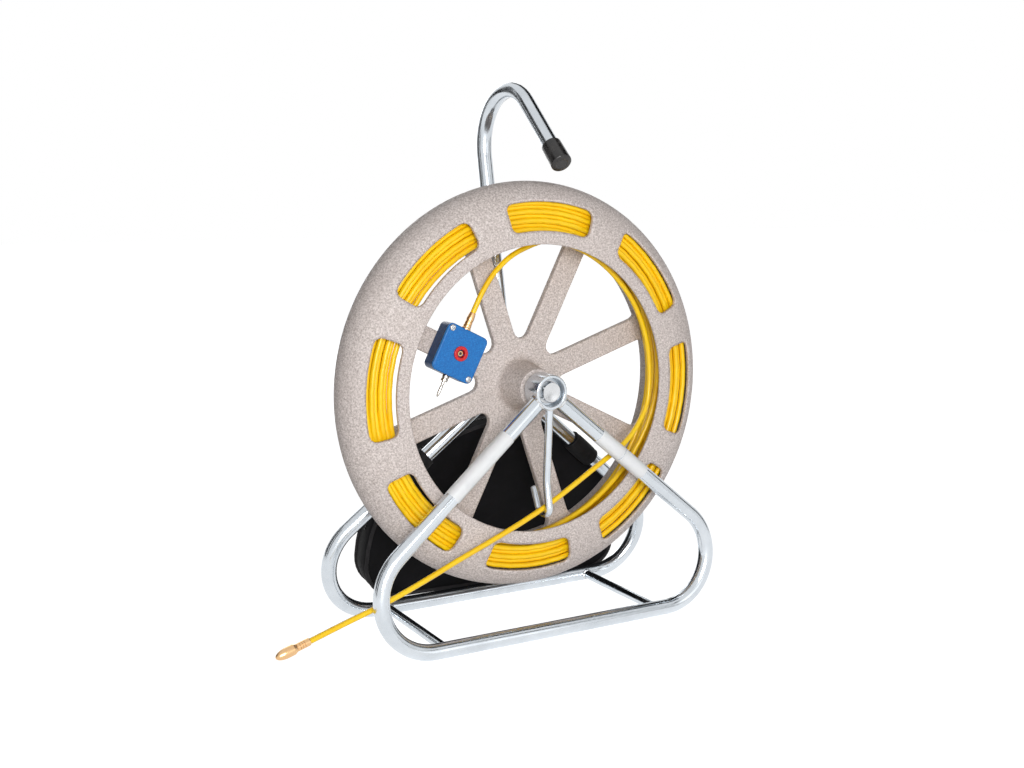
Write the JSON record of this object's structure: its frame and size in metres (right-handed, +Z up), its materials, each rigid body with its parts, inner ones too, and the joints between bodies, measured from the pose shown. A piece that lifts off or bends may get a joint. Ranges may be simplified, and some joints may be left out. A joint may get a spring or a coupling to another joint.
{
  "type": "duct rod reel",
  "caption": "Duct rod reel: a stiff rod wound in a spoked drum that turns on a bent tube frame, with carry handle, guide hook, junction box and storage bag.",
  "frame": {"origin": "on the floor, under the middle of frame and bag", "axes": "+Z up, -Y towards the open face of the drum, +X to the right seen from the front"},
  "size_m": [0.6266, 0.2396, 0.6934],
  "materials": {
    "zinc_tube": "bright zinc plate",
    "bright_zinc": "bright zinc plate",
    "black_rubber": "matt",
    "label_film": "satin film",
    "black_cloth": "woven nylon",
    "yellow_rod": "smooth sheath",
    "brass": "turned",
    "grey_drum": "fine grain",
    "bearing_plastic": "smooth",
    "blue_box": "hammer paint",
    "red_plastic": "gloss",
    "nickel": "polished",
    "wire_cover": "smooth"
  },
  "bodies": {
    "frame": {"front_loop": "zinc_tube", "rear_loop": "zinc_tube", "left_cross_bar": "zinc_tube", "right_cross_bar": "zinc_tube", "front_bush": "zinc_tube", "rear_bush": "zinc_tube", "axle_bolt": "bright_zinc", "bolt_washer": "bright_zinc", "axle_nut": "bright_zinc", "nut_washer": "bright_zinc", "front_thrust_washer": "bright_zinc", "rear_thrust_washer": "bright_zinc", "carry_handle": "zinc_tube", "handle_cap": "black_rubber", "guide_arm": "zinc_tube", "left_label": "label_film", "right_labels": "label_film", "storage_bag": "black_cloth", "left_strap": "black_cloth", "right_strap": "black_cloth", "free_rod": "yellow_rod", "rod_sleeve": "brass", "rod_nose": "brass"},
    "drum": {"drum_front": "grey_drum", "drum_back": "grey_drum", "rim_screws": "bright_zinc", "front_bearing": "bearing_plastic", "rear_bearing": "bearing_plastic", "coil_core": "yellow_rod", "rod_coil": "yellow_rod", "rod_ferrule": "brass", "box_body": "blue_box", "box_gasket": "black_rubber", "box_lid": "blue_box", "lid_screws": "bright_zinc", "box_screws": "bright_zinc", "socket_shell": "red_plastic", "socket_contact": "brass", "socket_nut": "bright_zinc", "pin_collar": "nickel", "contact_pin": "nickel", "inner_wires": "wire_cover"}
  },
  "joints": [
    {"name": "drum_spin", "type": "hinge", "parent": "frame", "child": "drum", "pos_m": [0, -0.02865, 0.31], "axis": [0, 1, 0], "continuous": true}
  ]
}
